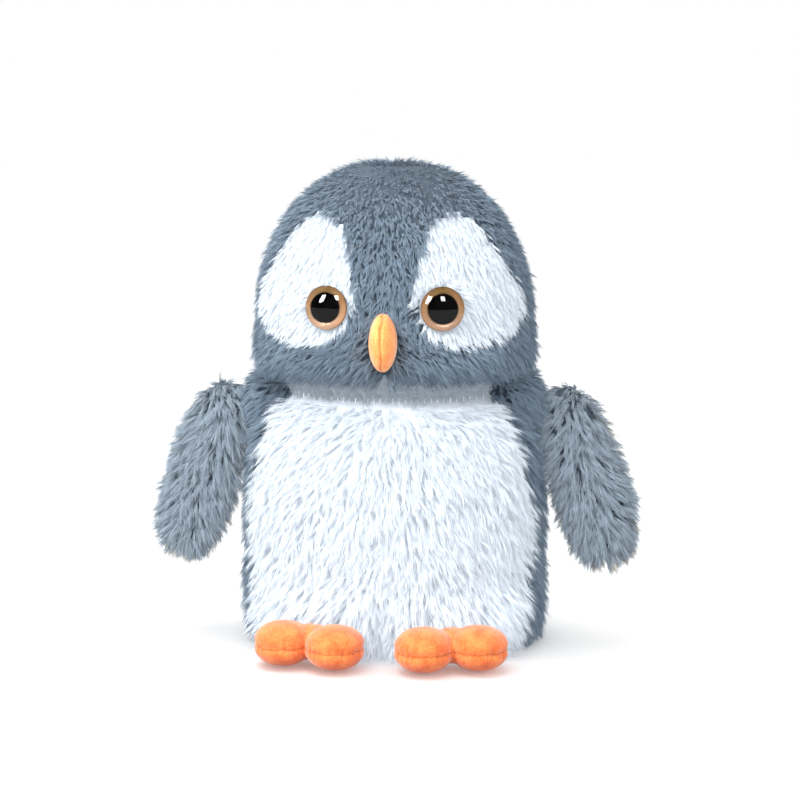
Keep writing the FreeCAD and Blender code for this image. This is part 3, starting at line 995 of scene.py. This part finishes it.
@dataclass
class Eye:
    """A safety eye: clear dome, bronze iris and black pupil.

    Args:
        side: which eye.
        place: where it sits.
    """

    side: Side
    place: EyePlace
    radius: float = 14 * MM
    dome: float = 6.5 * MM
    pupil: float = 8.8 * MM
    disc: float = 0.8 * MM

    def build(self) -> None:
        """Makes the dome and the iris ring, and finishes the pupil."""
        word = self.side.word
        sphere = (self.radius**2 + self.dome**2) / (2 * self.dome)
        clear_selection()
        bpy.ops.mesh.primitive_uv_sphere_add(segments=96, ring_count=128, radius=sphere)
        lens = bpy.context.object
        bpy.ops.object.mode_set(mode="EDIT")
        bpy.ops.mesh.select_all(action="SELECT")
        bpy.ops.mesh.bisect(
            plane_co=(0, 0, sphere - self.dome), plane_no=(0, 0, 1), use_fill=True, clear_inner=True
        )
        bpy.ops.object.mode_set(mode="OBJECT")
        bpy.ops.object.shade_smooth_by_angle(angle=math.radians(40))
        lift = self.disc + self.dome - sphere
        lens.data.transform(self.place.matrix() @ Matrix.Translation((0, 0, lift)))
        looks = [material(CLEAR), material(CLEAR_BACK)]
        finished(lens, f"eye_{word}_dome", "head", looks, [f"eye_{word}_lens"])
        back = max(lens.data.polygons, key=lambda face: len(face.vertices))
        back.material_index = 1
        iris = self.ring()
        iris.data.transform(self.place.matrix())
        bronze = bpy.data.materials.get("iris_bronze") or iris_material()
        finished(iris, f"eye_{word}_ring", "head", [bronze], [f"eye_{word}_iris"])
        for part in ("pupil", "shank"):
            refinish(f"eye_{word}_{part}", BLACK)

    def ring(self) -> Piece:
        """The iris: a flat ring with a UV map of angle and radius.

        Returns:
            The mesh object.
        """
        clear_selection()
        bpy.ops.mesh.primitive_cylinder_add(
            vertices=96, radius=self.radius - 0.1 * MM, depth=self.disc, end_fill_type="NOTHING"
        )
        piece = bpy.context.object
        bpy.ops.object.mode_set(mode="EDIT")
        bpy.ops.mesh.select_all(action="DESELECT")
        bpy.ops.object.mode_set(mode="OBJECT")
        top = coordinates(piece)[:, 2] > 0
        piece.data.vertices.foreach_set("select", top)
        for edge in piece.data.edges:
            if all(top[v] for v in edge.vertices):
                edge.select = True
        bpy.ops.object.mode_set(mode="EDIT")
        bpy.ops.mesh.select_mode(type="EDGE")
        bpy.ops.mesh.extrude_edges_move()
        share = self.pupil / (self.radius - 0.1 * MM)
        bpy.ops.transform.resize(value=(share, share, 1))
        bpy.ops.object.mode_set(mode="OBJECT")
        uv = piece.data.uv_layers.new(name="ring")
        points = coordinates(piece)
        for face in piece.data.polygons:
            angles = [math.atan2(points[v][1], points[v][0]) for v in face.vertices]
            wrap = max(angles) - min(angles) > math.pi
            for loop, turn, v in zip(face.loop_indices, angles, face.vertices):
                turn = turn + 2 * math.pi if wrap and turn < 0 else turn
                out = (math.hypot(*points[v][:2]) - self.pupil) / (self.radius - self.pupil)
                uv.data[loop].uv = (turn / (2 * math.pi) + 0.5, out)
        # The film laps over the pupil's edge.
        piece.data.transform(Matrix.Translation((0, 0, self.disc / 2 + 0.03 * MM)))
        return piece


@dataclass
class Beak:
    """Two plush halves sewn up the middle, round filling."""

    half: tuple[float, float, float] = (9.5, 17.0, 19.0)
    centre: tuple[float, float, float] = (0.0, -50.0, BEAK_HEIGHT)
    tilt: float = 8.0

    def build(self) -> None:
        """Makes the padded beak, its nap and its seam."""
        place = Matrix.Translation(self.centre) @ Matrix.Rotation(math.radians(-self.tilt), 4, "X")

        def shape(rows: Rows) -> Rows:
            """An ellipsoid with the groove that the seam pulls down its middle."""
            rows[:, 1] *= 1 - 0.07 * np.exp(-((rows[:, 0] / 0.12) ** 2))
            return placed(rows * (np.array(self.half) - 0.6), place)

        piece = ball(72, 48, shape)
        nodes = ["beak_panel_left", "beak_panel_right", "beak_filling"]
        cover = plush_material("beak_plush_cover", 0, 0.0, ("#E07E3C", "#EE9E5C"))
        finished(piece, "beak_plush", "head", [cover], nodes)


def mesh_sample(piece, spacing: float, keep: Callable) -> tuple[Rows, Rows]:
    """Random points spread evenly over a mesh.

    Args:
        piece: the mesh object, in metres.
        spacing: mean distance between points in millimetres.
        keep: takes rows in millimetres and tells which stay.

    Returns:
        Rows of points in millimetres and of normals.
    """
    mesh = piece.data
    mesh.calc_loop_triangles()
    points = coordinates(piece) / MM
    corners = np.empty(len(mesh.loop_triangles) * 3, int)
    mesh.loop_triangles.foreach_get("vertices", corners)
    corners = corners.reshape(-1, 3)
    # The operators give vertices and faces in another order each run. Sorted by place, they are
    # in one fixed order for the random draws.
    rank = np.empty(len(points), int)
    rank[np.lexsort(points.T)] = np.arange(len(points))
    first = rank[corners].argmin(1)[:, None]
    corners = np.take_along_axis(corners, (first + np.arange(3)) % 3, 1)
    corners = corners[np.lexsort(rank[corners].T)]
    smooth = np.empty(len(mesh.vertices) * 3)
    mesh.vertex_normals.foreach_get("vector", smooth)
    smooth = smooth.reshape(-1, 3)
    a, b, c = (points[corners[:, i]] for i in range(3))
    area = np.linalg.norm(np.cross(b - a, c - a), axis=1) / 2
    count = int(area.sum() / spacing**2)
    pick = RNG.choice(len(area), count, p=area / area.sum())
    u, v = RNG.uniform(size=(2, count, 1))
    flip = u + v > 1
    u, v = np.where(flip, 1 - u, u), np.where(flip, 1 - v, v)
    share = np.concatenate([1 - u - v, u, v], 1)[..., None]
    roots = (points[corners[pick]] * share).sum(1)
    normals = unit((smooth[corners[pick]] * share).sum(1))
    stay = keep(roots)
    return roots[stay], normals[stay]


# ---- flippers and feet

# How far the cloth lies inside the flipper's form, and how far from its middle pile grows.
THIN_SKIN, END = 3.2, 59.5
# X of a foot's middle, height of its seam, and distance between its toes' middles, halved.
FOOT_ACROSS, SEAM, APART = 45, 14.5, 17
# The toes and the instep: share of APART across, distance back, and share of a toe's size.
LOBES = ((-1, 0, 1), (1, 8, 1), (0, 13, 0.8))


@dataclass
class Flipper:
    """Grey outside, cream inside, swinging on the seam at the torso's side.

    Args:
        side: which flipper.
    """

    side: Side
    outer: Fur = Fur(LIT_GREY, 15, 2.5, (34, 74), 10, 0.38, mess=17, wild=10)
    inner: Fur = Fur(CREAM, 15, 2.7, (34, 74), 10, 0.38, mess=17, wild=10)

    def place(self) -> Matrix:
        """Where the flipper's form stands, in millimetres."""
        sign = self.side.value
        return (
            Matrix.Translation((126 * sign, 19.5, 113))
            @ Matrix.Rotation(math.radians(-17 * sign), 4, "Y")
            @ Matrix.Rotation(math.radians(14 * sign), 4, "Z")
        )

    def build(self) -> None:
        """Makes the skin and both covers' fur."""
        word = self.side.word
        body = f"flipper_{word}"
        cloth = skin(FLIPPER, THIN_SKIN, self.place())
        nodes = [f"flipper_{word}_filling"]
        finished(cloth, f"flipper_{word}_skin", body, [material(SHADED_GREY_BACKING)], nodes)
        count = int(FLIPPER.area(-END, END) / self.outer.spacing**2)
        angle, height = FLIPPER.sample(count, -END, END)
        local = FLIPPER.points(angle, height, THIN_SKIN + 0.4)
        normals = FLIPPER.normals(angle, height)
        # The grey cover wraps over the top; the cream one shows at the tip.
        front = (local[:, 1] < 0.4) | (height > 44)
        front &= (height > -57) | (local[:, 1] < -3)
        # Pile parts along the middle of the flipper and falls to both edges.
        way = np.stack([local[:, 0] / 23 * 0.9, 0 * height, np.full(len(height), -1.0)], -1)
        # At the top it is short and lies inwards, over the seam.
        top = np.clip((height - 36) / 20, 0, 1)
        way[:, 0] -= self.side.value * 1.3 * top
        comb = flattened(way, normals)
        turn = np.array(self.place().to_3x3())
        roots = placed(local, self.place())
        normals, comb = normals @ turn.T, comb @ turn.T
        for cover, fur, zone in (("outer", self.outer, front), ("inner", self.inner, ~front)):
            name = f"flipper_{word}_{cover}_fur"
            cad = [f"flipper_{word}_{cover}_cover"]
            scale = 1 - 0.3 * top[zone]
            plant(fur, roots[zone], normals[zone], comb[zone], name, body, cad, scale)


@dataclass
class Foot:
    """Two plump toes in short plush, sewn round the middle.

    Args:
        side: which foot.
    """

    side: Side
    half: tuple[float, float, float] = (19.5, 20.0, 14.5)

    def build(self) -> None:
        """Makes the padded foot, its puckered seam and its nap."""
        word, sign = self.side.word, self.side.value
        body = f"foot_{word}"
        parts = []
        for across, back, share in LOBES:
            half = np.array(self.half) * share - 0.5
            middle = [(FOOT_ACROSS + across * APART) * sign, back - 72.5, SEAM]
            # The power makes the ball a little boxy.
            lobe = ball(64, 48, lambda p: np.sign(p) * np.abs(p) ** 0.93 * half + middle)
            parts.append(lobe)
        clear_selection()
        for toe in parts:
            toe.select_set(True)
        bpy.context.view_layer.objects.active = parts[0]
        bpy.ops.object.join()
        piece = bpy.context.object
        remesh = piece.modifiers.new("one_skin", "REMESH")
        remesh.mode, remesh.voxel_size = "VOXEL", 0.9 * MM
        bpy.ops.object.modifier_apply(modifier=remesh.name)
        smooth = piece.modifiers.new("soft_cleft", "SMOOTH")
        smooth.factor, smooth.iterations = 0.5, 14
        bpy.ops.object.modifier_apply(modifier=smooth.name)
        points = coordinates(piece) / MM
        out = points - [FOOT_ACROSS * sign, -67, SEAM]
        turn = np.arctan2(out[:, 1], out[:, 0])
        level = (points[:, 2] - SEAM) / 4.2
        # The seam draws in a groove, and the cloth puckers as it meets it.
        groove = 1.5 * np.exp(-(level**2) * 2.2)
        pucker = np.exp(-np.abs(level) * 0.75) * (
            0.55 * np.sin(turn * 34 + 3 * np.sin(turn * 5)) + 0.3 * np.sin(turn * 57 + sign)
        )
        flat = unit(out * [1, 1, 0])
        points = points - flat * (groove + 0.8 * pucker)[:, None]
        points[:, 2] = np.maximum(points[:, 2], 0.3)
        set_coordinates(piece, points * MM)
        bpy.ops.object.shade_smooth()
        nodes = [f"foot_{word}_upper", f"foot_{word}_sole", f"foot_{word}_filling"]
        cover = plush_material("foot_plush_cover", 2, SEAM * MM, ("#C65926", "#DC783E"))
        finished(piece, f"foot_{word}_plush", body, [cover], nodes)


# ---- setting


# Focal length and shift of the camera, as shares of the picture's width.
FOCAL, SHIFT = 2295 / 800, 0.0088


@dataclass
class Studio:
    """Pale floor, soft light and the camera."""

    azimuth: float = 6.0
    elevation: float = 9.0
    distance: float = 1.5
    aim: tuple[float, float, float] = (0.0, 0.010, 0.155)

    def build(self) -> None:
        """Makes the floor, the lights, the sky and the camera."""
        clear_selection()
        bpy.ops.mesh.primitive_plane_add(size=12)
        floor = bpy.context.object
        floor.name = "floor"
        floor.data.materials.append(material(FLOOR))
        scene = bpy.context.scene
        sky = scene.world = scene.world or bpy.data.worlds.new("sky")
        sky.use_nodes = True
        # The backdrop is white to the camera, and softer as light. In the eyes it is a dark room
        # over a dim floor.
        tree = sky.node_tree
        rays = add_node(tree, "LightPath")
        way = add_node(tree, "TexCoord").outputs["Generated"]
        up = add_node(tree, "SeparateXYZ", {0: way}).outputs[2]
        above = maths(tree, "GREATER_THAN", up)
        room = add_node(tree, "MapRange", {"Value": above}, To_Min=0.5, To_Max=0.04)
        mirrored = {0: rays.outputs["Is Glossy Ray"], 2: 0.9, 3: room.outputs[0]}
        seen = add_node(tree, "Mix", mirrored, data_type="FLOAT")
        direct = {0: rays.outputs["Is Camera Ray"], 2: seen.outputs[0], 3: 1.0}
        shown = add_node(tree, "Mix", direct, data_type="FLOAT")
        ground = tree.nodes["Background"]
        tree.links.new(shown.outputs[0], ground.inputs[1])
        ground.inputs[0].default_value = (1.0, 1.0, 1.0, 1.0)
        floor.visible_glossy = False
        # Two window-shaped lamps show in the eyes and leave the floor out. A wide one overhead
        # makes the soft shadow.
        unlit = bpy.data.collections.new("floor_only")
        unlit.objects.link(floor)
        for name, place, size, power, tall in (
            ("key", (-1.1, -1.1, 1.29), 0.6, 60, 1.0),
            ("fill", (0.57, -1.27, 1.5), 0.5, 26, 0.7),
            ("top", (-0.35, 0.1, 1.7), 1.2, 14, 1.2),
        ):
            lamp = bpy.data.lights.new(name, "AREA")
            lamp.shape, lamp.size, lamp.size_y, lamp.energy = "RECTANGLE", size, tall, power
            light = bpy.data.objects.new(name, lamp)
            scene.collection.objects.link(light)
            light.location = place
            light.visible_glossy = name != "top"
            if name != "top":
                light.light_linking.receiver_collection = unlit
            aim = Vector((0, 0, 0.16)) - Vector(place)
            light.rotation_euler = aim.to_track_quat("-Z", "Y").to_euler()
        unlit.collection_objects[0].light_linking.link_state = "EXCLUDE"
        lens = bpy.data.cameras.new("camera")
        lens.sensor_width, lens.lens = 36, 36 * FOCAL
        eye = bpy.data.objects.new("camera", lens)
        scene.collection.objects.link(eye)
        turn, rise = math.radians(self.azimuth), math.radians(self.elevation)
        level = math.cos(rise)
        back = Vector((math.sin(turn) * level, -math.cos(turn) * level, math.sin(rise)))
        # The object stands a little left of the middle of the view and below it.
        lens.shift_x = lens.shift_y = SHIFT
        eye.location = Vector(self.aim) + back * self.distance
        eye.rotation_euler = (-back).to_track_quat("-Z", "Y").to_euler()
        scene.camera = eye
        scene.view_settings.view_transform = "Standard"


def main() -> None:
    """Builds every sub-assembly and the setting."""
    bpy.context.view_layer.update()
    clear_selection()
    Torso().build()
    Head().build()
    for side in Side:
        Flipper(side).build()
        Foot(side).build()
    Studio().build()
    refinish("slit_stitches", WHITE_THREAD)


if __name__ == "__main__":
    main()
